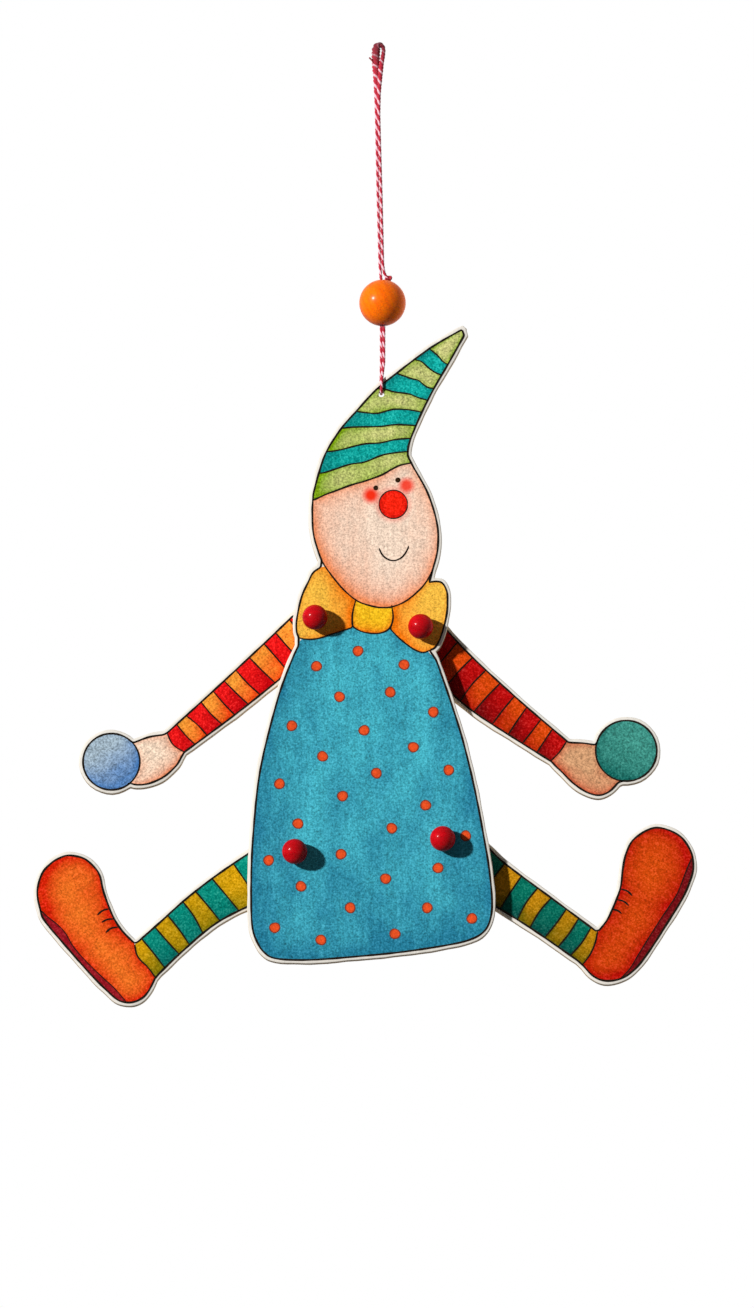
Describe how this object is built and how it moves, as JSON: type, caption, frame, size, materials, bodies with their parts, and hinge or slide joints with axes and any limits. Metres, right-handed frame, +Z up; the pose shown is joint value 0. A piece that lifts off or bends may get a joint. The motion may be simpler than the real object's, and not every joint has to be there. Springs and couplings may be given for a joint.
{
  "type": "jumping jack toy",
  "caption": "Flat plywood clown that hangs from a twine loop; pulling the linking cord behind it raises its pegged arms and legs together.",
  "frame": {"origin": "inside of the hanging loop at its top, where a nail or hook bears", "axes": "+Z up along the hanging figure, +Y from the painted face to the back, +X to the viewer's right"},
  "size_m": [0.2165, 0.02, 0.3156],
  "materials": {
    "painted_board": "birch plywood, water-colour painted face, bare edge",
    "painted_limb": "birch plywood, water-colour painted face, bare edge",
    "red_lacquer": "gloss lacquer",
    "orange_lacquer": "gloss lacquer",
    "bare_wood": "unpainted, smooth",
    "link_cord": "waxed thread",
    "twine": "twisted red and white cotton"
  },
  "bodies": {
    "body": {"body_board": "painted_board", "peg_shoulder_left": "red_lacquer", "peg_shoulder_right": "red_lacquer", "peg_hip_left": "red_lacquer", "peg_hip_right": "red_lacquer", "washer_shoulder_left": "bare_wood", "washer_shoulder_right": "bare_wood", "washer_hip_left": "bare_wood", "washer_hip_right": "bare_wood", "cap_shoulder_left": "bare_wood", "cap_shoulder_right": "bare_wood", "cap_hip_left": "bare_wood", "cap_hip_right": "bare_wood", "hanging_cord": "twine", "hanging_knot": "twine"},
    "arm_left": {"arm_left": "painted_limb"},
    "arm_right": {"arm_right": "painted_limb"},
    "leg_left": {"leg_left": "painted_limb"},
    "leg_right": {"leg_right": "painted_limb"},
    "pull_cords": {"arm_cord": "link_cord", "arm_cord_knots": "link_cord", "leg_cord": "link_cord", "leg_cord_knots": "link_cord", "center_cord": "link_cord", "center_knots": "link_cord"},
    "bead": {"bead": "orange_lacquer"}
  },
  "joints": [
    {"name": "leg_left_swing", "type": "hinge", "parent": "body", "child": "leg_left", "pos_m": [-0.02701, 0, -0.265], "axis": [0, 1, 0], "range_deg": [-28, 50]},
    {"name": "leg_right_swing", "type": "hinge", "parent": "body", "child": "leg_right", "pos_m": [0.02101, 0, -0.2608], "axis": [0, -1, 0], "range_deg": [-28, 50]},
    {"name": "arm_left_swing", "type": "hinge", "parent": "body", "child": "arm_left", "pos_m": [-0.02048, 0, -0.1884], "axis": [0, 1, 0], "range_deg": [-28, 50]},
    {"name": "arm_right_swing", "type": "hinge", "parent": "body", "child": "arm_right", "pos_m": [0.01388, 0, -0.1914], "axis": [0, -1, 0], "range_deg": [-28, 50]},
    {"name": "cord_pull", "type": "slide", "parent": "body", "child": "pull_cords", "axis": [0, 0, 1], "range_m": [-0.0065, 0.0037]},
    {"name": "bead_slide", "type": "slide", "parent": "body", "child": "bead", "axis": [0, 0, 1], "range_m": [-0.012, 0]}
  ],
  "couplings": [
    {"joint": "leg_right_swing", "follows": "leg_left_swing", "ratio": 1},
    {"joint": "arm_left_swing", "follows": "leg_left_swing", "ratio": 1},
    {"joint": "arm_right_swing", "follows": "leg_left_swing", "ratio": 1},
    {"joint": "cord_pull", "follows": "leg_left_swing", "m_per_rad": -0.00739}
  ]
}
